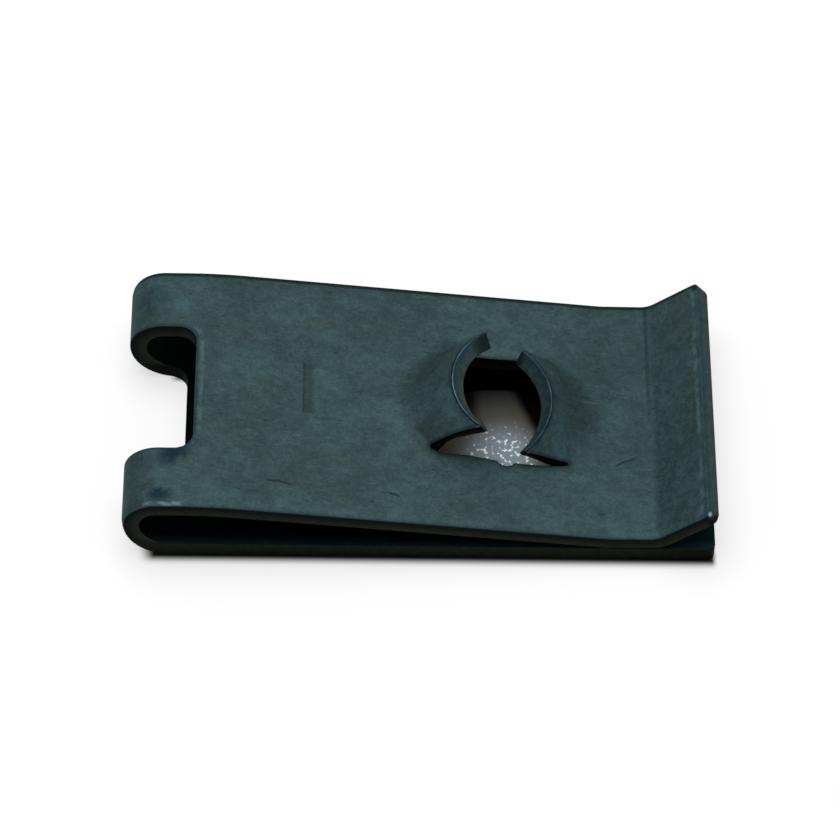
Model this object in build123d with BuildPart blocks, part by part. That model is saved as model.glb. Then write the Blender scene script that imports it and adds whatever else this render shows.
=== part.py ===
"""U-shaped speed nut: one folded sheet of spring steel, resting on its lower leg.

Millimetres, +Z up.  The origin is on the screw axis, level with the underside of the lower leg.
+X runs from the fold towards the flared lip, Y runs across the strip.
"""
import os
from math import radians, tan

from build123d import *

# strip
SHEET = 0.75
WIDTH = 12.7
CORNER_R = 0.35         # free corners of the sheet, seen square on

# side view
FOLD_X = -16.05         # outermost point of the fold
LEG_END_X = 9.12        # free end of the lower leg
HEIGHT = 3.55           # outside height at the fold
FOLD_R_LOW = 2.05       # outer radius of the lower quarter of the fold
FOLD_R_TOP = HEIGHT - FOLD_R_LOW
CREST_RUN = 1.0         # level run after the fold
CREST_R = 21.0
SLOPE = 6.7             # degrees, upper leg falling towards the lip
SLOPE_RUN = 15.56
SEAT_R = 3.0
SEAT_SLOPE = 0.4        # degrees, where the upper leg comes down on the lower one
SEAT_RUN = 1.57
LIP_R = 0.8
LIP_ANGLE = 40.0
LIP_RUN = 2.44

# notch that leaves two loops at the fold
NOTCH_WIDTH = 6.57
NOTCH_END_TOP = FOLD_X + 2.94
NOTCH_END_LOW = FOLD_X + 2.49
NOTCH_R = 0.8

# clearance hole in the lower leg
CLEAR_R = 2.9

# thread impression in the upper leg: two tongues between two slots, their tips half a pitch apart
SLOT_Y = 2.75           # outer wall of both slots
SLOT_GAP = 0.12
SLOT_END = 3.0          # where the slots end and the tongues leave the leg
LEFT_BOW = 0.95         # how far the middle of each hinge line bows away from the screw axis
RIGHT_BOW = 0.7
RELIEF_X = 0.2          # round relief in the near slot
RELIEF_R = 0.42
EMBED = 0.4             # how far back inside the leg a tongue starts, before the two are joined

# ---------------------------------------------------------------- folded strip
with BuildPart() as strip:
    with BuildSketch(Plane.XZ):
        with BuildLine():
            foot = Line((LEG_END_X, 0), (FOLD_X + FOLD_R_LOW, 0))
            low = JernArc(foot @ 1, foot % 1, FOLD_R_LOW, -90)
            top = JernArc(low @ 1, low % 1, FOLD_R_TOP, -90)
            crest = PolarLine(top @ 1, CREST_RUN, direction=top % 1)
            bend = JernArc(crest @ 1, crest % 1, CREST_R, -SLOPE)
            leg = PolarLine(bend @ 1, SLOPE_RUN, direction=bend % 1)
            knee = JernArc(leg @ 1, leg % 1, SEAT_R, SLOPE - SEAT_SLOPE)
            seat = PolarLine(knee @ 1, SEAT_RUN, direction=knee % 1)
            flare = JernArc(seat @ 1, seat % 1, LIP_R, SEAT_SLOPE + LIP_ANGLE)
            PolarLine(flare @ 1, LIP_RUN, direction=flare % 1)
            offset(amount=SHEET, side=Side.RIGHT)
        make_face()
    extrude(amount=WIDTH / 2, both=True)
    free_corners = strip.edges().filter_by(lambda e: abs(e.length - SHEET) < 0.01)
    fillet(free_corners, CORNER_R)

    # notch, cut a little further back in the upper leg than in the lower one
    for end_x, reach in ((NOTCH_END_TOP, HEIGHT), (NOTCH_END_LOW, -HEIGHT)):
        with BuildSketch(Plane.XY.offset(HEIGHT / 2)):
            with Locations((end_x, 0)):
                opening = Rectangle(10, NOTCH_WIDTH, align=(Align.MAX, Align.CENTER))
            fillet(opening.vertices().group_by(Axis.X)[-1], NOTCH_R)
        extrude(amount=reach, mode=Mode.SUBTRACT)

    # clearance hole
    with BuildSketch():
        Circle(CLEAR_R)
    extrude(amount=SHEET, mode=Mode.SUBTRACT)

# ---------------------------------------------------------------- thread impression
# Drawn level, with Z = 0 on the top face of the leg and the screw axis through the origin.


def tongue(side, bow, tip_x, tip_z, near, far, crown):
    """Curved sheet from a bowed hinge line up to a concave tip; near and far are its corners (x, z)."""
    edge_y = SLOT_Y - SLOT_GAP
    start_z = -EMBED * tip_z / (SLOT_END + bow - tip_x)
    hinge = ThreePointArc(
        (side * (SLOT_END + EMBED), -edge_y, start_z),
        (side * (SLOT_END + bow + EMBED), 0, start_z),
        (side * (SLOT_END + EMBED), edge_y, start_z),
    )
    tip = ThreePointArc(
        (side * near[0], -edge_y, near[1]), (side * tip_x, 0, tip_z), (side * far[0], edge_y, far[1])
    )
    outward = Vector(side, 0, 1).normalized()
    rows = []
    for u in (0, 0.125, 0.25, 0.375, 0.5, 0.625, 0.75, 0.875, 1):
        swell = 4 * crown * (2 * u - 1) ** 2
        rows.append([
            (hinge @ u) * (1 - v) + (tip @ u) * v + outward * (swell * v * (1 - v))
            for v in (0, 0.25, 0.5, 0.75, 1)
        ])
    return thicken(Face.make_surface_from_array_of_points(rows, tol=0.001), -side * SHEET)


with BuildPart() as tongues:
    tongue(side=-1, bow=LEFT_BOW, tip_x=2.36, tip_z=1.97, near=(1.12, 2.20), far=(0.90, 1.95), crown=0.25)
    tongue(side=1, bow=RIGHT_BOW, tip_x=2.08, tip_z=1.05, near=(0.86, 0.70), far=(0.86, 1.00), crown=0.12)
    split(bisect_by=Plane.XY.offset(-SHEET))

with BuildPart() as window:
    wall_x = SLOT_END - 0.1     # under the tongues, just inside their hinge lines
    with BuildSketch():
        with BuildLine():
            near = Line((-wall_x, -SLOT_Y), (wall_x, -SLOT_Y))
            right = ThreePointArc(near @ 1, (wall_x + RIGHT_BOW, 0), (wall_x, SLOT_Y))
            far = Line(right @ 1, (-wall_x, SLOT_Y))
            ThreePointArc(far @ 1, (-wall_x - LEFT_BOW, 0), near @ 0)
        make_face()
        with Locations((RELIEF_X, 0.1 - SLOT_Y)):
            Circle(RELIEF_R)
    extrude(amount=SHEET)
    extrude(window.faces().sort_by(Axis.Z)[0], amount=SHEET + 0.02)

# ---------------------------------------------------------------- whole clip
axis_height = (leg @ 1).Y + (leg @ 1).X * tan(radians(SLOPE))
with BuildPart() as u_nut:
    add(strip.part)
    with Locations(Location((0, 0, axis_height), (0, SLOPE, 0))):
        add(window.part, mode=Mode.SUBTRACT)
        add(tongues.part)

u_nut.part.label = "u_nut"
os.makedirs("parts", exist_ok=True)
export_step(u_nut.part, "parts/u_nut.step")
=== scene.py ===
"""Dressed model of a U-shaped speed nut: one strip of spring steel, pierced, lanced and folded over."""
from math import cos, pi, radians, sin

import bmesh
import bpy
from mathutils import Matrix, Vector


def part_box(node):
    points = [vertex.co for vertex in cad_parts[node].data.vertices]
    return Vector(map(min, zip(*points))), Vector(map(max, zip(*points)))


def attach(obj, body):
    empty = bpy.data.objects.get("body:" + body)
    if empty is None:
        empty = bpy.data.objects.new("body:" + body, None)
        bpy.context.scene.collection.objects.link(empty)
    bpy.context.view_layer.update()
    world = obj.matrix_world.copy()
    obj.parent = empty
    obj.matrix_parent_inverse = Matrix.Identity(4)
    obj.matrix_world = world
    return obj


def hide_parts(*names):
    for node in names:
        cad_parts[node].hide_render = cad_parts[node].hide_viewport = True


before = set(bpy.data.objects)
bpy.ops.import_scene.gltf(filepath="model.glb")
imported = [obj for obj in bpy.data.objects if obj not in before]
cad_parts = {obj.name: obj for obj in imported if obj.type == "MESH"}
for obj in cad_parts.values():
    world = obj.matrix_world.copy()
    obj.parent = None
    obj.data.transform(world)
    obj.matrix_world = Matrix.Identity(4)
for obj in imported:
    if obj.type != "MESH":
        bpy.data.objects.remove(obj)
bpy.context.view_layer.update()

# ------------------------------------------------------------------ camera
# A long lens looks down on the clip from the side where both legs show their cut edges,
# with the fold to the left and the flared lip to the right.
MM = 0.001
AIM = Vector((-3.442, -0.210, 1.624)) * MM
DISTANCE = 189.56 * MM
SWING, ELEVATION, TILT = -1.632, 52.324, 1.927      # degrees round the clip, above the paper, of roll
camera_data = bpy.data.cameras.new("camera")
camera_data.sensor_width = 36
camera_data.lens = 188.5
camera_data.clip_start = 0.005
camera = bpy.data.objects.new("camera", camera_data)
turn = (
    Matrix.Rotation(radians(SWING), 4, "Z")
    @ Matrix.Rotation(radians(90 - ELEVATION), 4, "X")
    @ Matrix.Rotation(radians(TILT), 4, "Z")
)
camera.matrix_world = Matrix.Translation(AIM) @ turn @ Matrix.Translation((0, 0, DISTANCE))
bpy.context.scene.collection.objects.link(camera)
bpy.context.scene.camera = camera


# ------------------------------------------------------------------ studio
# White paper that the clip lies on, under one large soft lamp high above and a little behind it.
# What the eye sees of the paper is lifted to white and keeps the clip's own shadow, and painted shade
# darkens it under the clearance hole and along the clip's edges.
class Value:
    """A node socket in an expression: + - and * add Math nodes."""

    def __init__(self, tree, socket):
        self.tree, self.socket = tree, socket

    def _math(self, operation, *operands, **settings):
        return self.tree.add("ShaderNodeMath", dict(operation=operation, **settings), *operands)

    def __add__(self, other):
        return self._math("ADD", self, other)

    def __radd__(self, other):
        return self._math("ADD", other, self)

    def __sub__(self, other):
        return self._math("SUBTRACT", self, other)

    def __rsub__(self, other):
        return self._math("SUBTRACT", other, self)

    def __mul__(self, other):
        return self._math("MULTIPLY", self, other)

    def __rmul__(self, other):
        return self._math("MULTIPLY", other, self)

    def clamped(self):
        """Kept between 0 and 1."""
        return self._math("ADD", self, 0.0, use_clamp=True)

    def tinted(self, amount):
        """A colour made lighter or darker."""
        return self.tree.add("ShaderNodeVectorMath", dict(operation="SCALE"), self, Scale=amount)


class Shader:
    """The node tree of one material or of the world."""

    def __init__(self, owner):
        owner.use_nodes = True
        self.nodes, self.links = owner.node_tree.nodes, owner.node_tree.links
        self.nodes.clear()

    def add(self, kind, settings=None, *inputs, sockets=None, out=0, **named):
        """Adds a node: its settings first, then its sockets, in order, by number or by name."""
        node = self.nodes.new(kind)
        for name, value in (settings or {}).items():
            setattr(node, name, value)
        values = dict(enumerate(inputs))
        values.update(sockets or {})
        values.update({name.replace("_", " "): value for name, value in named.items()})
        for name, value in values.items():
            if isinstance(value, Value):
                self.links.new(value.socket, node.inputs[name])
            else:
                node.inputs[name].default_value = value
        return Value(self, node.outputs[out])

    def mix(self, amount, first, second):
        """A colour between two colours."""
        return self.add(
            "ShaderNodeMix", dict(data_type="RGBA"), sockets={0: amount, 6: first, 7: second}, out=2)

    def finish(self, surface, output="ShaderNodeOutputMaterial"):
        self.links.new(surface.socket, self.nodes.new(output).inputs["Surface"])


def level(value, start, end):
    """How far a value is from start to end, 0 to 1, eased at both."""
    return value.tree.add("ShaderNodeMapRange", dict(interpolation_type="SMOOTHSTEP"), value, start, end)


def distance_of(value, target):
    return value.tree.add("ShaderNodeMath", dict(operation="ABSOLUTE"), value - target)


def seen_by_eye(tree):
    """1 for camera, glossy and transmission rays, 0 for the light that reaches the clip."""
    camera_ray, glossy_ray, through_ray = (
        tree.add("ShaderNodeLightPath", out=name)
        for name in ("Is Camera Ray", "Is Glossy Ray", "Is Transmission Ray"))
    return (camera_ray + glossy_ray + through_ray).clamped()


bpy.context.scene.view_settings.view_transform = "Standard"
paper = bpy.data.materials.new("white_paper")
shader = Shader(paper)
eye = seen_by_eye(shader)
place = shader.add("ShaderNodeTexCoord", out="Object")
x, y = (shader.add("ShaderNodeSeparateXYZ", None, place, out=name) * (1 / MM) for name in "XY")

# painted shade and light: in the clearance hole the paper is painted dim and brownish, with a painted
# pool of light, flecked bright, in the middle, and painted shade turns it black to the right, to the left
# and at the far side, where the legs shade it
LIGHT_POOL_CENTRE = (0.2 * MM, -1.0 * MM, 0)
DEEP_SHADE, BROWN_SHADE, LIGHT_POOL = (0.040, 0.043, 0.038, 1), (0.105, 0.099, 0.081, 1), (0.225, 0.285, 0.325, 1)
from_axis = shader.add("ShaderNodeVectorMath", dict(operation="LENGTH"), place, out="Value") * (1 / MM)
open_floor = level(from_axis, 3.2, 4.7)
from_patch = shader.add("ShaderNodeVectorMath", dict(operation="DISTANCE"), place, LIGHT_POOL_CENTRE, out="Value")
light_pool = level(from_patch, 2.4 * MM, 0.7 * MM)
fine_noise = shader.add("ShaderNodeTexNoise", None, place, Scale=4500.0, Detail=3.0)
flecks = level(fine_noise + light_pool * 0.08, 0.62, 0.7)
under = shader.mix(level(y, 2.8, 0.6), DEEP_SHADE, BROWN_SHADE)
under = shader.mix(light_pool, under, LIGHT_POOL)
under = shader.mix(flecks * light_pool, under, (0.9, 0.9, 0.9, 1))
right_shade = level(x * 0.92 + y * 0.39, 1.4, 1.9)
far_shade = level(y, 2.62, 2.8)
left_shade = level(x, -0.6, -1.3) * level(y, 0.1, 0.9) * 0.9
under = shader.mix((right_shade + far_shade + left_shade).clamped() * 0.97, under, (0, 0, 0, 1))

# painted contact shadow where no light gets in, as the clip touches the paper: along the lower leg's near
# edge, and at the inner edge of the loop that the notch leaves at the far side
lowest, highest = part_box("u_nut")
LEG_END = 9.12 * MM         # free end of the lower leg, from the screw axis
LOOP_EDGE = 3.28            # inner edge of the far loop, in millimetres
near_edge, fold_end, free_end = lowest.y / MM, lowest.x / MM, LEG_END / MM
leg_span = level(x, fold_end + 0.55, fold_end + 1.35) * level(x, free_end + 0.18, free_end - 0.12)
by_leg = level(near_edge - y, 0.55, 0.0) * level(y, near_edge + 0.6, near_edge + 0.3) * leg_span
loop_span = level(x, fold_end + 1.55, fold_end + 2.15) * level(x, fold_end + 2.85, fold_end + 2.45)
by_loop = level(LOOP_EDGE - y, 0.4, 0.0) * level(y, LOOP_EDGE + 0.12, LOOP_EDGE - 0.08) * loop_span
contact_shadow = by_leg + by_loop
paper_with_shadow = shader.mix(contact_shadow, (1.0, 1.0, 1.0, 1), (0.02, 0.02, 0.02, 1))

PAPER_GREY = (0.35, 0.35, 0.35, 1)      # for the light that it throws back on the clip
LIFT = 0.62                             # share of plain white in what the eye sees of it
seen_paper = shader.mix(open_floor, under, paper_with_shadow)
diffuse = shader.add("ShaderNodeBsdfDiffuse", None, shader.mix(eye, PAPER_GREY, seen_paper))
glow = shader.add("ShaderNodeEmission", None, (1.0, 1.0, 1.0, 1.0), 1.0)
lift = eye * open_floor * (1 - contact_shadow) * LIFT
shader.finish(shader.add("ShaderNodeMixShader", None, lift, diffuse, glow))

floor_mesh = bpy.data.meshes.new("floor")
sheet = bmesh.new()
bmesh.ops.create_grid(sheet, x_segments=1, y_segments=1, size=1.5)      # 3 metres square
sheet.to_mesh(floor_mesh)
sheet.free()
floor_mesh.materials.append(paper)
floor = bpy.data.objects.new("floor", floor_mesh)
bpy.context.scene.collection.objects.link(floor)

world = bpy.data.worlds.new("studio")
bpy.context.scene.world = world
shader = Shader(world)
# dim where it lights the clip, white where it is seen
dim = shader.add("ShaderNodeBackground", None, (1.0, 1.0, 1.0, 1.0), 0.45)
bright = shader.add("ShaderNodeBackground", None, (1.0, 1.0, 1.0, 1.0), 1.0)
backdrop = shader.add("ShaderNodeMixShader", None, seen_by_eye(shader), dim, bright)
shader.finish(backdrop, "ShaderNodeOutputWorld")

LAMP_PLACE = Vector((-35, 50, 310))     # millimetres from the screw axis, to the left, behind and above
lamp = bpy.data.lights.new("key_lamp", "AREA")
lamp.size, lamp.energy = 260 * MM, 0.74
key_lamp = bpy.data.objects.new("key_lamp", lamp)
facing_clip = LAMP_PLACE.to_track_quat("Z", "Y").to_matrix().to_4x4()
key_lamp.matrix_world = Matrix.Translation(LAMP_PLACE * MM) @ facing_clip
bpy.context.scene.collection.objects.link(key_lamp)

# ------------------------------------------------------------------ the clip
# One strip of spring steel, blanked with a notch, a clearance hole and a lanced thread form,
# then folded so that the upper leg springs down on the lower one and its lip flares up.
SHEET = 0.75 * MM           # thickness of the strip
HALF_WIDTH = highest.y
CORNER = 0.35 * MM          # round of the four free corners
EDGE_ROLL = 0.1 * MM        # how far the outer face sinks at the two long edges, from the fold to the lip
LIP_BREAKOUT = 0.028 * MM   # how far the lip's end face leans out
TEAR = 0.13 * MM            # how far the left tongue's near wall leans out at its tip
TEAR_Y = -2.2 * MM          # the near walls of the lanced window all lie nearer than this
tiny = 1e-3 * MM            # points closer than this count as one

# the side view along the strip's outer face, from the free end of the lower leg:
# the length of each straight run or bend, and how far it turns in degrees
SLOPE = 6.7                 # of the upper leg's main run, down towards the lower leg
SEAT_SLOPE = 0.4            # of its last flat before the lip
LIP_ANGLE = 40.0            # of the lip, upwards
FOLD_RADII = 2.05 * MM, 1.5 * MM    # outside the fold, at its lower and its upper half
foot_run = LEG_END - lowest.x - FOLD_RADII[0]
low_bend = FOLD_RADII[0] * pi / 2
top_bend = FOLD_RADII[1] * pi / 2
SIDE_VIEW = [
    (foot_run, 0),                                                          # lower leg
    (low_bend, -90),                                                        # lower half of the fold
    (top_bend, -90),                                                        # upper half of the fold
    (1.0 * MM, 0),                                                          # level start of the upper leg
    (21.0 * MM * radians(SLOPE), -SLOPE),                                   # slow bend downwards
    (15.56 * MM, 0),                                                        # main run, to the knee
    (3.0 * MM * radians(SLOPE - SEAT_SLOPE), SLOPE - SEAT_SLOPE),           # knee
    (1.57 * MM, 0),                                                         # flat before the lip
    (0.8 * MM * radians(SEAT_SLOPE + LIP_ANGLE), SEAT_SLOPE + LIP_ANGLE),   # bend of the lip
    (2.44 * MM, 0),                                                         # lip
]


def along(count):
    """How far along the strip the first count runs and bends end."""
    return sum(length for length, turned in SIDE_VIEW[:count])


def side_view(distance):
    """Place and outward direction of the strip's outer face, distance along it, as (x, z) pairs."""
    place, heading = Vector((LEG_END, 0)), pi
    for length, turned in SIDE_VIEW:
        part = min(distance, length)
        angle = radians(turned) * part / length
        chord = 2 * length / radians(turned) * sin(angle / 2) if turned else part
        place += chord * Vector((cos(heading + angle / 2), sin(heading + angle / 2)))
        heading += angle
        distance -= part
        if distance <= 0:
            break
    return place, Vector((-sin(heading), cos(heading)))


knee = along(6)
AXIS = knee - side_view(knee)[0].x / cos(radians(SLOPE))    # where the screw axis meets the upper leg

# The blank's openings.  Each one is cut in a rectangular frame of the mesh, and rows that follow
# its outline lie in the frame, at these distances from the cut edge.
ROLL = [0.35 * MM, 0.16 * MM, 0.06 * MM, 0.0]
FRAME_WIDTH = 4.4 * MM                          # half width of every frame
FRAME_BACK, FRAME_AHEAD = 5.0 * MM, 5.1 * MM    # ends of the notch's and the window's, from the middle
HOLE_RADIUS = 2.9 * MM                          # clearance hole in the lower leg
NOTCH_ENDS = LEG_END - lowest.x - 2.49 * MM, along(4) + 0.44 * MM   # round the fold, from leg to leg
NOTCH_HALF_WIDTH, NOTCH_CORNER = 3.285 * MM, 0.8 * MM
SLOT_END, SLOT_Y = 3.0 * MM, 2.8 * MM           # corners of the lanced window in the mesh's frame
# the hinge lines of the left and the right tongue, in millimetres from the screw axis: at the middle,
# and at the near and the far slot
HINGES = {-1: dict(middle=3.95, near=3.05, far=2.3), 1: dict(middle=3.65, near=2.85, far=2.1)}


def steps(start, end, count):
    """count even steps from start to end, without the end."""
    return [start + (end - start) * i / count for i in range(count)]


def spread(centre, half, count):
    """Lines across an opening, even between its two ends."""
    return steps(centre - half, centre + half, count) + [centre + half]


length = along(len(SIDE_VIEW))
notch_middle = sum(NOTCH_ENDS) / 2
# the mesh's rows across the strip and its lines along it, closer at the openings, bends and edges
WINDOW_ROWS = [-3.0, -2.6, -2.2, -1.8, -1.4, -1.0, -0.6, -0.3, -0.16, -0.06, 0.06, 0.23,
               0.4, 0.52, 0.62, 0.76, 1.05, 1.4, 1.8, 2.2, 2.6, 3.0]
rows = [gap for gap in reversed(ROLL)] + steps(1.2 * MM, LEG_END - FRAME_WIDTH, 3)
rows += spread(LEG_END, FRAME_WIDTH, 16) + steps(LEG_END + FRAME_WIDTH, notch_middle - FRAME_BACK, 6)[1:]
rows += steps(notch_middle - FRAME_BACK, along(1), 4)
rows += steps(along(1), along(2), 14) + steps(along(2), along(3), 12)
rows += steps(along(3), along(4), 3) + steps(along(4), notch_middle + FRAME_AHEAD, 3)
rows += steps(notch_middle + FRAME_AHEAD, along(5), 2) + steps(along(5), AXIS - FRAME_BACK, 5)
rows += [AXIS + place * MM for place in [-5.0, -4.4, -3.7] + WINDOW_ROWS + [3.7]]
rows += steps(knee, along(7), 3) + [along(7)]
rows += steps(AXIS + FRAME_AHEAD, along(8), 3) + steps(along(8), along(9), 9)
rows += steps(along(9), length - ROLL[0], 4) + [length - gap for gap in ROLL]
half_lines = [0, 0.42, 0.84, 1.26, 1.68, 2.06, 2.34, 2.45, 2.54, 2.6, 2.67, 2.8, 3.3, 3.8, 4.4, 5.2]
half_lines = [line * MM for line in half_lines] + [HALF_WIDTH - gap for gap in ROLL]
lines = [-line for line in reversed(half_lines[1:])] + half_lines

strip = bmesh.new()
bmesh.ops.create_grid(strip, x_segments=len(rows) - 1, y_segments=len(lines) - 1, size=0.5)
for vert in strip.verts:
    row = round((vert.co.x + 0.5) * (len(rows) - 1))
    line = round((vert.co.y + 0.5) * (len(lines) - 1))
    vert.co = (rows[row], lines[line], 0)


def cut_round(centre, half_length, half_width, radius):
    """Rows around an opening with round corners: the place of a point, distance from the cut."""
    def place(point, distance):
        side = 1 if point.x > centre else -1
        flank = 1 if point.y > 0 else -1
        corner = Vector((half_length - radius, half_width - radius))
        away = Vector((abs(point.x - centre), abs(point.y))) - corner
        reach = radius + distance
        if away.y <= tiny:
            spot = Vector((corner.x + reach, abs(point.y)))
        elif away.x <= tiny:
            spot = Vector((abs(point.x - centre), corner.y + reach))
        else:
            spot = corner + reach * away.normalized()
        return Vector((centre + side * spot.x, flank * spot.y, 0)), distance
    return place


# The tongues, pressed up from the lanced window.  Each one swells up from the leg around its hinge
# line, which bows away from the screw, and runs to a tip that curls round the screw.  The tip has
# its middle and its two corners as (along, up) in millimetres, and crown is how far the tongue arches.
TONGUES = {
    -1: dict(middle=(2.36, 1.97), corners={-1: (1.12, 2.205), 1: (0.76, 2.03)}, crown=0.25),
    1: dict(middle=(2.08, 1.05), corners={-1: (0.86, 0.68), 1: (0.74, 1.02)}, crown=0.12),
}
TIP_CORNER = 0.14 * MM          # round of a tip's two corners
EDGE = 1 - 0.13 * MM / SLOT_Y   # edge of a tongue, as a share of the window's half width
SWELL = 0.95 * MM               # how far outside its hinge line a tongue starts to rise
BEND = 0.4                      # share of a tongue that is bent, twice that at the right one's near side


def hinge(side, across):
    corner = HINGES[side]["far" if across > 0 else "near"]
    return (HINGES[side]["middle"] + (corner - HINGES[side]["middle"]) * across ** 2) * MM


RELIEF_X, RELIEF_Y, RELIEF_RADIUS = 0.23, 2.54, 0.42    # round relief of the near slot, in millimetres
BOW_WIDTH, BOW_LEAN, BOW = 2.72, 0.09, 0.03             # the near slot's wall as a curve, in millimetres


def slot_wall(flank, x):
    """Half width of the window at x from the screw: the near slot bows out and has a round relief."""
    if flank > 0:
        return SLOT_Y
    x /= MM
    relief = RELIEF_Y + max(0, RELIEF_RADIUS ** 2 - (x - RELIEF_X) ** 2) ** 0.5
    return max(BOW_WIDTH + BOW_LEAN * x - BOW * x * x, relief) * MM


def tip(side, across):
    tongue = TONGUES[side]
    corner = Vector(tongue["corners"][1 if across > 0 else -1]) * MM
    middle = Vector(tongue["middle"]) * MM
    bulge = middle.x - corner.x
    radius = ((EDGE * SLOT_Y) ** 2 + bulge ** 2) / (2 * bulge)
    x = middle.x - radius + (radius ** 2 - (across * SLOT_Y) ** 2) ** 0.5
    return Vector((x, middle.y + (corner.y - middle.y) * (across / EDGE) ** 2))


def rise(side, across, inside):
    """Height of the outer face above the leg, a distance inside a tongue's hinge line or outside it."""
    end = tip(side, across)
    run = hinge(side, across) - end.x
    bend = (BEND + BEND * across ** 2 if side > 0 > across else BEND) * run
    slope = end.y / ((SWELL + bend) / 2 + run - bend)
    if inside < bend:
        return slope * max(0, SWELL + inside) ** 2 / (2 * (SWELL + bend))
    return slope * ((SWELL + bend) / 2 + inside - bend)


def tongue_point(side, across, up):
    """A point of a tongue's outer face: across it from -1 to 1, and up it from 0 at the hinge to 1."""
    flank = 1 if across > 0 else -1
    root, end = hinge(side, across), tip(side, across)
    slant = Vector((root - end.x, end.y)).length
    into_corner = max(0, 1 - (EDGE - abs(across)) * SLOT_Y / TIP_CORNER)
    up *= 1 - TIP_CORNER * (1 - max(0, 1 - into_corner ** 2) ** 0.5) / slant
    wall = slot_wall(flank, side * hinge(side, flank))
    width = wall + (SLOT_Y - wall) * up
    inside = (root - end.x) * up
    crown = 4 * TONGUES[side]["crown"] * MM * across ** 2 * up * (1 - up) / 2 ** 0.5
    place = Vector((
        AXIS + side * (root - inside + crown), across * width, rise(side, across, inside) + crown))
    return place, min((EDGE - abs(across)) * width, (1 - up) * slant)


def cut_window(point, distance):
    """Rows around the lanced window, which follow the two hinge lines and the two slots."""
    x = point.x - AXIS
    side, flank = (1 if x > 0 else -1), (1 if point.y > 0 else -1)
    corner_x = hinge(side, flank)
    if abs(point.y) <= SLOT_Y + tiny and abs(x) >= SLOT_END - tiny:
        across = point.y / SLOT_Y
        at = hinge(side, across)
        wall = slot_wall(flank, side * corner_x)
        from_slot = Vector((max(0, EDGE - abs(across)) * wall, distance)).length
        place = Vector((AXIS + side * (at + distance), across * wall, rise(side, across, -distance)))
        return place, from_slot
    if abs(x) <= SLOT_END + tiny:
        x *= corner_x / SLOT_END
        beyond = Vector((distance, corner_x - abs(x))).length
        place = Vector((AXIS + x, flank * (slot_wall(flank, x) + distance), rise(side, flank, -beyond)))
        return place, distance
    away = distance * Vector((abs(x) - SLOT_END, abs(point.y) - SLOT_Y)).normalized()
    heart = Vector((corner_x, slot_wall(flank, side * corner_x)))
    place = Vector((
        AXIS + side * (heart.x + away.x), flank * (heart.y + away.y), rise(side, flank, -distance)))
    return place, distance


FRAMES = [
    (LEG_END - FRAME_WIDTH, LEG_END + FRAME_WIDTH,
     cut_round(LEG_END, HOLE_RADIUS, HOLE_RADIUS, HOLE_RADIUS), ROLL),
    (notch_middle - FRAME_BACK, notch_middle + FRAME_AHEAD,
     cut_round(notch_middle, (NOTCH_ENDS[1] - NOTCH_ENDS[0]) / 2, NOTCH_HALF_WIDTH, NOTCH_CORNER),
     ROLL),
    (AXIS - FRAME_BACK, AXIS + FRAME_AHEAD, cut_window, [0.8 * MM, 0.65 * MM, 0.5 * MM] + ROLL),
]
rim = strip.verts.layers.float.new("rim")        # how far a point is from the nearest cut edge
depth = strip.verts.layers.float.new("depth")    # 0 on the outer face, 1 on the inner one
tips_and_ends = strip.verts.layers.float.new("tips_and_ends")  # 1 at a tongue's tip, 0.5 at the notch's and lip's ends: it places painted highlights and shade
station = {}                                     # where on its frame each vert of the rows comes from


def next_row(edge, place):
    """Draws a new row of the mesh from a chain of edges, and gives its edges; place sets each vert."""
    grown = bmesh.ops.extrude_edge_only(strip, edges=edge)["geom"]
    new = {item for item in grown if isinstance(item, bmesh.types.BMVert)}
    for vert in new:
        old = next(e.other_vert(vert) for e in vert.link_edges if e.other_vert(vert) not in new)
        station[vert] = station[old]
        vert.co, vert[rim] = place(station[vert])
    return [item for item in grown
            if isinstance(item, bmesh.types.BMEdge) and all(v in new for v in item.verts)]


for vert in strip.verts:
    vert[rim] = min(vert.co.x, length - vert.co.x, HALF_WIDTH - abs(vert.co.y))
for start, end, cut_out, distances in FRAMES:
    inside = [face for face in strip.faces if start < face.calc_center_median().x < end
              and abs(face.calc_center_median().y) < FRAME_WIDTH]
    bmesh.ops.delete(strip, geom=inside, context="FACES")
    edge = [e for e in strip.edges if e.is_boundary and all(
        start - tiny < v.co.x < end + tiny and abs(v.co.y) < FRAME_WIDTH + tiny for v in e.verts)]
    station.update({v: v.co.copy() for e in edge for v in e.verts})
    for distance in distances:
        edge = next_row(edge, lambda at: cut_out(at, distance))

# how far up a tongue its rows lie, from the hinge line to the tip, and where its part with painted
# highlights and shade starts
UP = [0.05, 0.1, 0.15, 0.2, 0.26, 0.33, 0.41, 0.5, 0.59, 0.68, 0.77, 0.86, 0.94, 0.98, 1.0]
TIP_PAINT_START = 0.4
window_edge = edge
for side in HINGES:
    edge = [e for e in window_edge if all(
        side * (station[v].x - AXIS) > SLOT_END - tiny and abs(station[v].y) < EDGE * SLOT_Y + tiny
        for v in e.verts)]
    for up in UP:
        edge = next_row(edge, lambda at: tongue_point(side, at.y / SLOT_Y, up))
        for vert in {v for e in edge for v in e.verts}:
            vert[tips_and_ends] = max(0, up - TIP_PAINT_START) / (1 - TIP_PAINT_START)

# round the four free corners
for vert in strip.verts:
    ahead = -1 if vert.co.x < CORNER else 1
    flank = -1 if vert.co.y < 0 else 1
    heart = Vector((CORNER if ahead < 0 else length - CORNER, flank * (HALF_WIDTH - CORNER)))
    away = Vector((ahead * (vert.co.x - heart.x), flank * (vert.co.y - heart.y)))
    if min(away) > tiny:
        away = max(away) * away.normalized()
        vert.co = (heart.x + ahead * away.x, heart.y + flank * away.y, 0)

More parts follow.
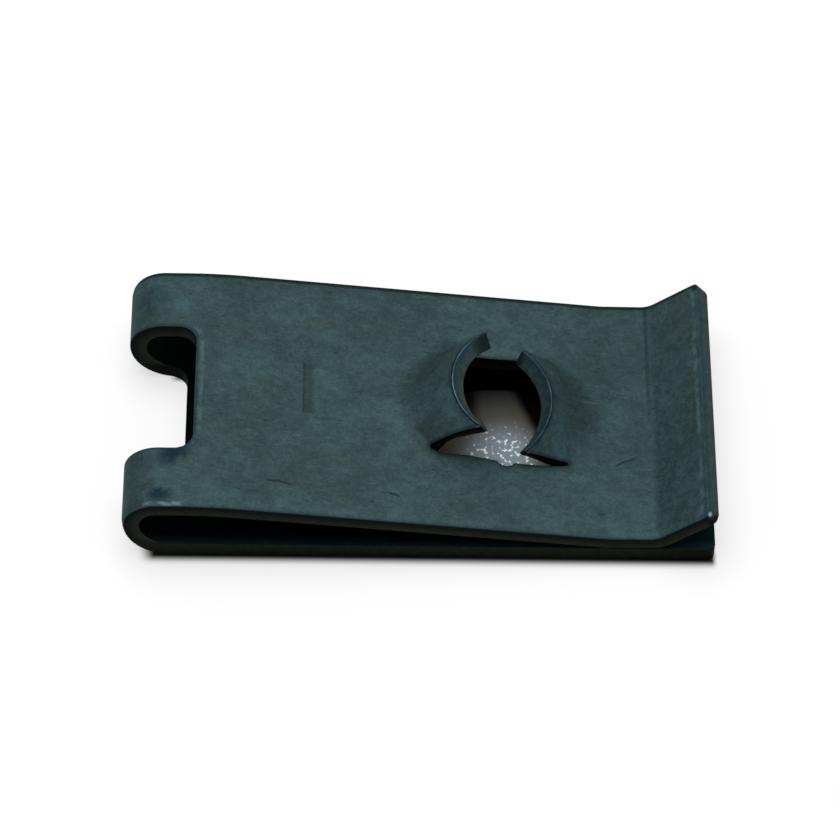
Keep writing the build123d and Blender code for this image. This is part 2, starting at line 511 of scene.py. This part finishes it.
END_PAINT_DEPTH = 0.7 * MM     # how far in from the notch's end and the lip's end the painted highlight may reach
for vert in strip.verts:
    at_notch = abs(vert.co.x - NOTCH_ENDS[1]) < END_PAINT_DEPTH and abs(vert.co.y) < NOTCH_HALF_WIDTH
    if at_notch or length - vert.co.x < END_PAINT_DEPTH:
        vert[tips_and_ends] = 0.5
bmesh.ops.remove_doubles(strip, verts=strip.verts, dist=tiny)
bmesh.ops.recalc_face_normals(strip, faces=strip.faces)
if sum(face.normal.z for face in strip.faces) < 0:
    bmesh.ops.reverse_faces(strip, faces=strip.faces)

# the sheet's thickness, on the inner side; the shear left the lip's end and the left tongue's near wall
# leaning out, and rolled the outer face over at the upper leg's long edges
outer = set(strip.verts)
bmesh.ops.solidify(strip, geom=strip.faces, thickness=SHEET)
for vert in strip.verts:
    if vert not in outer:
        vert[depth] = 1
        if vert.co.x > length - tiny:
            vert.co.x += LIP_BREAKOUT
        elif vert.co.x < AXIS and vert.co.y < TEAR_Y and vert[rim] < tiny:
            vert.co.y -= TEAR * vert[tips_and_ends] ** 0.5
    else:
        upper = min(1, max(0, (vert.co.x - along(1)) / (along(2) - along(1))))
        vert.co.z -= upper * EDGE_ROLL * (max(0, abs(vert.co.y) - HALF_WIDTH + ROLL[0]) / ROLL[0]) ** 2

# the fold: every point goes to its place on the side view
for vert in strip.verts:
    place, outward = side_view(vert.co.x)
    place += outward * vert.co.z + Vector((outward.y, -outward.x)) * max(0, vert.co.x - length)
    vert.co = (place.x, vert.co.y, place.y)
bmesh.ops.recalc_face_normals(strip, faces=strip.faces)

mesh = bpy.data.meshes.new("spring_clip")
strip.to_mesh(mesh)
strip.free()
mesh.shade_smooth()
clip = bpy.data.objects.new("spring_clip", mesh)
bpy.context.scene.collection.objects.link(clip)

# tumbling has broken the sharp edges
edges = clip.modifiers.new("edges", "BEVEL")
edges.width, edges.segments = 0.05 * MM, 3
edges.limit_method, edges.angle_limit = "ANGLE", radians(50)
edges.use_clamp_overlap, edges.harden_normals = False, True

# Dark blue-green phosphate on the skins, clouded, finely speckled and lightly scratched; painted shade
# darkens it to the cut edges, whose sheared walls are dark olive brown, paler where the punch broke out.
# Distances here are in millimetres.
steel = bpy.data.materials.new("spring_steel")
shader = Shader(steel)
place = shader.add("ShaderNodeTexCoord", out="Object")
x, y, z = (shader.add("ShaderNodeSeparateXYZ", None, place, out=name) * (1 / MM) for name in "XYZ")
normal = shader.add("ShaderNodeNewGeometry", out="Normal")
facing_up = shader.add("ShaderNodeSeparateXYZ", None, normal, out="Z")
from_rim, inner, at_tips_and_ends = (
    shader.add("ShaderNodeAttribute", dict(attribute_name=name), out="Fac")
    for name in ("rim", "depth", "tips_and_ends"))
from_rim = from_rim * (1 / MM)
from_screw = distance_of(x, 0)
upper_leg = level(z, 1.2, 1.4)
lower_leg = level(z, 1.0, 0.8)


def noise(scale, detail=3.0, roughness=0.6, stretch=(1, 1, 1)):
    """Noise of about 0 to 1, with scale cells to the millimetre."""
    cells = tuple(share / MM for share in stretch)
    at = shader.add("ShaderNodeVectorMath", dict(operation="MULTIPLY"), place, cells)
    return shader.add(
        "ShaderNodeTexNoise", None, Vector=at, Scale=scale, Detail=detail, Roughness=roughness)


def near(spot, reach):
    """1 at a spot of the clip, 0 beyond reach."""
    spot = tuple(place_along * MM for place_along in spot)
    gap = shader.add("ShaderNodeVectorMath", dict(operation="DISTANCE"), place, spot, out="Value")
    return level(gap * (1 / MM), reach, reach * 0.4)


# the phosphate on the skins
clouds = level(noise(0.35), 0.38, 0.62)
greens = level(noise(0.55, stretch=(1, 1.6, 1)), 0.45, 0.7)
scratches = level(noise(1.0, detail=2.0, stretch=(1.2, 9.0, 9.0)), 0.63, 0.74)
pits = level(noise(1.6, detail=2.0, stretch=(1.0, 2.6, 2.6)), 0.34, 0.25)
mottles = level(noise(0.9, stretch=(1.0, 1.5, 1.5)), 0.35, 0.65)
speckle = noise(3.2, detail=5.0, roughness=0.7)
speckles = level(speckle, 0.3, 0.7)
grains = level(noise(9.0, detail=2.0), 0.3, 0.7)
skin = shader.mix(clouds, (0.032, 0.058, 0.060, 1), (0.037, 0.071, 0.078, 1))
skin = shader.mix(greens * 0.4, skin, (0.038, 0.062, 0.057, 1))
skin = shader.mix(scratches * 0.55, skin, (0.085, 0.125, 0.135, 1))
skin = shader.mix(pits * 0.6, skin, (0.014, 0.026, 0.030, 1))
for pattern, dark, light in (mottles, 0.79, 0.96), (speckles, 0.80, 1.20), (grains, 0.88, 1.12):
    skin = shader.mix(pattern, skin.tinted(dark), skin.tinted(light))

# the leg between the screw and the lip is darker, in patches
darker_patches = level(x, 2.6, 4.0) * level(x, 7.0, 6.2) * level(distance_of(y, 0.5), 5.2, 3.0)
darker_patches = darker_patches * (noise(0.7) * 0.6 + 0.3)
skin = shader.mix(darker_patches.clamped() * 0.5, skin, skin.tinted(0.6))

# painted highlight: a wavering band just inside the notch's end and the lip's end is painted pale, and
# stained by the notch
wavy = from_rim + noise(2.0) * 0.3 - 0.15
band = level(wavy, 0.12, 0.24) * level(wavy, 0.44, 0.3) * level(at_tips_and_ends, 0.1, 0.5)
band = band * level(from_screw, 4.0, 5.0)
edge_highlight = band * (level(noise(1.7), 0.4, 0.56) * 0.85 + 0.15) * (level(x, 0, 4.0) * 0.25 + 0.5)
skin = shader.mix(edge_highlight, skin, (0.060, 0.105, 0.125, 1))
blots = band * level(noise(1.4, stretch=(1, 0.6, 1)), 0.54, 0.62) * level(x, -12.0, -12.5)
skin = shader.mix(blots * 0.7, skin, (0.006, 0.032, 0.040, 1))

# single hairlines across the upper leg, three dark and one pale: middle, half length, slope and colour
HAIRLINES = [
    (-9.4, -4.8, 0.75, -0.1, (0.006, 0.012, 0.010, 1)),
    (-4.55, -5.0, 0.3, -0.3, (0.006, 0.014, 0.014, 1)),
    (5.4, -2.3, 0.6, 0.5, (0.006, 0.014, 0.016, 1)),
    (3.9, 0.78, 0.5, 0.1, (0.055, 0.085, 0.075, 1)),
]
ripple = noise(2.4) * 0.24 - 0.12
for at_x, at_y, reach, slope, tint in HAIRLINES:
    off_line = distance_of(y - x * slope + ripple, at_y - at_x * slope)
    hairline = level(distance_of(x, at_x), reach, reach * 0.5) * level(off_line, 0.1, 0.02) * upper_leg
    skin = shader.mix(hairline * 0.75, skin, tint)

# painted shade in the crease where the lip turns up, blue smudges by the fold, a painted highlight along
# its near edge, and painted shade along the rims of the tongues' tips
CREASE_X = side_view(along(8) + 0.2 * MM)[0].x / MM
crease_shade = level(distance_of(x, CREASE_X), 0.15, 0.0) * level(y, -2.0, 2.5) * level(noise(0.8), 0.3, 0.5)
skin = shader.mix(crease_shade * upper_leg * 0.55, skin, (0.008, 0.014, 0.015, 1))
smudges = near((-13.9, -3.6, 4.0), 1.1) + near((-14.5, -5.6, 3.9), 0.95)
smudges = smudges + near((-15.1, 4.8, 3.7), 1.2) * 0.4
smudges = (smudges * level(noise(1.1), 0.35, 0.55)).clamped()
skin = shader.mix(smudges * 0.85, skin, (0.002, 0.013, 0.022, 1))
fold_edge_highlight = near((-14.3, -6.3, 3.5), 1.4) * level(wavy, 0.26, 0.14) * level(wavy, 0.0, 0.08)
skin = shader.mix(fold_edge_highlight * level(noise(1.8), 0.38, 0.6) * 0.75, skin, (0.12, 0.17, 0.21, 1))
tip_rim_shade = level(from_rim, 0.55, 0.2) * level(at_tips_and_ends, 0.65, 0.95) * level(from_screw, 4.0, 3.5)
skin = shader.mix(tip_rim_shade * level(noise(1.4), 0.4, 0.55) * 0.6, skin, (0.008, 0.020, 0.034, 1))

# a shallow stamped bar with a short faint foot
bar = level(x, -8.52, -8.40) * level(x, -7.85, -8.15) * level(distance_of(y, 0.38), 1.45, 1.2)
foot = level(distance_of(x, -7.35), 0.7, 0.4) * level(distance_of(y, -1.2), 0.16, 0.02)
stamp = (bar + foot * 0.5).clamped() * level(z, 1.5, 2.0) * (1 - inner)
skin = shader.mix(stamp * 0.38, skin, (0.010, 0.020, 0.018, 1))

# painted shade: the skin darkens beside the near slot and towards the cut edges, most at the far one
slot_shade = level(from_rim, 0.5, 0.0) * level(y, -2.3, -2.7) * level(y, -3.9, -3.4)
slot_shade = slot_shade * level(from_screw, 4.6, 3.8)
skin = shader.mix(slot_shade * 0.55, skin, (0.006, 0.012, 0.010, 1))
rim_shade = 0.7 - (level(y, -5.9, -6.2) + level(x, 7.5, 8.0)).clamped() * 0.55
skin = shader.mix(level(from_rim, 0.2, 0.0) * rim_shade, skin, (0.006, 0.010, 0.011, 1))
far_rim_shade = level(from_rim, 0.36, 0.16) * level(y, 5.8, 6.0)
skin = shader.mix(far_rim_shade * 0.9, skin, (0.004, 0.008, 0.008, 1))

# painted shade on the inner skin, nearly black and deepest in the fold, with painted blue light where
# light gets in at the edges
low_inside = level(z, 1.2, 0.9)
lining_shade_and_light = shader.mix(
    level(x, 5.0, 7.0) * low_inside, (0.0006, 0.0015, 0.0020, 1), (0.0020, 0.0090, 0.0095, 1))
lining_shade_and_light = shader.mix(level(x, -9.0, -12.0), lining_shade_and_light, (0.0001, 0.0003, 0.0004, 1))
lining_shade_and_light = shader.mix(level(y, -5.7, -6.35) * low_inside, lining_shade_and_light, (0.0110, 0.0220, 0.0250, 1))
skin = shader.mix(inner * 0.97, skin, lining_shade_and_light)

# the sheared walls, plainer on the lower leg, with painted shade that makes them darkest at its free end
# and under the far loop
wall = shader.mix(level(inner, 0.1, 0.95), (0.0018, 0.0038, 0.0028, 1), (0.0170, 0.0182, 0.0120, 1))
wall = shader.mix(lower_leg * 0.75, wall, (0.0100, 0.0122, 0.0064, 1))
wall = shader.mix(lower_leg * level(x, 5.0, 8.6) * 0.6, wall, (0.0024, 0.0034, 0.0016, 1))
loop_foot_shade = level(x, -12.0, -13.0) * level(z, 1.1, 0.6) * level(y, 0.0, 1.0)
wall = shader.mix(loop_foot_shade * 0.9, wall, (0.0008, 0.0010, 0.0006, 1))

# painted sheen: walls that face up, at the tongues' tips and the lip's end, are painted lighter and bluer
sheen = level(facing_up, 0.15, 0.5) * level(z, 0.85, 1.1) * level(y, 6.25, 6.0)
sheen_colour = shader.mix(level(inner, 0.1, 0.8), (0.020, 0.048, 0.060, 1), (0.042, 0.070, 0.068, 1))
wall = shader.mix(sheen, wall, sheen_colour)
# the lip's end face takes a browner painted sheen where the punch broke out
lip_breakout_sheen = sheen * level(x, 6.0, 7.0) * level(inner, 0.3, 0.8)
wall = shader.mix(lip_breakout_sheen * 0.7, wall, (0.038, 0.046, 0.042, 1))
# painted shade: the lip's cut wall goes near black at its near end
wall = shader.mix(near((9.0, -6.35, 2.75), 0.45) * 0.8, wall, (0.0010, 0.0014, 0.0012, 1))
wall = shader.mix(speckles, wall.tinted(0.75), wall.tinted(1.25))
colour = shader.mix(level(from_rim, 0.06, 0.01), skin, wall)

# painted highlights on the tips' upper edges and the lip's near corner, and painted shade on the tips'
# far ends
glint = level(inner, 0.1, 0.0) * level(from_rim, 0.08, 0.0) * level(at_tips_and_ends, 0.6, 1.0) * sheen
glint = glint * level(noise(0.8), 0.35, 0.7) * (level(x, 1.0, -1.0) * 0.6 + 0.4)
colour = shader.mix(glint, colour, (0.11, 0.17, 0.22, 1))
colour = shader.mix(near((8.72, -6.2, 3.12), 0.14) * 0.8, colour, (0.38, 0.42, 0.52, 1))
tip_end_shade = (near((-0.6, 2.4, 3.6), 1.1) + near((0.6, 2.55, 2.6), 0.75)).clamped()
tip_end_shade = tip_end_shade * level(from_rim, 0.1, 0.04)
colour = shader.mix(tip_end_shade * 0.8, colour, (0.004, 0.009, 0.009, 1))

# painted shade: the clearance hole's wall and the lower leg around it are coloured nearly black
in_hole = level(x * x + y * y, 12.0, 9.5) * level(z, 1.5, 1.0)
colour = shader.mix(in_hole * 0.85, colour, (0.0005, 0.0008, 0.0006, 1))

relief = speckle * 0.012 + noise(1.3, detail=2.0) * 0.04 - stamp * 0.04 - scratches * 0.01
grain = shader.add("ShaderNodeBump", None, Strength=1.0, Distance=MM, Height=relief)
shader.finish(shader.add(
    "ShaderNodeBsdfPrincipled", None, Base_Color=colour, Normal=grain,
    Roughness=0.52 + speckle * 0.2, Metallic=0.9 + inner * 0.1,
    Specular_IOR_Level=0.25, Specular_Tint=(0.65, 0.7, 0.7, 1)))
mesh.materials.append(steel)
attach(clip, "root")
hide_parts("u_nut")
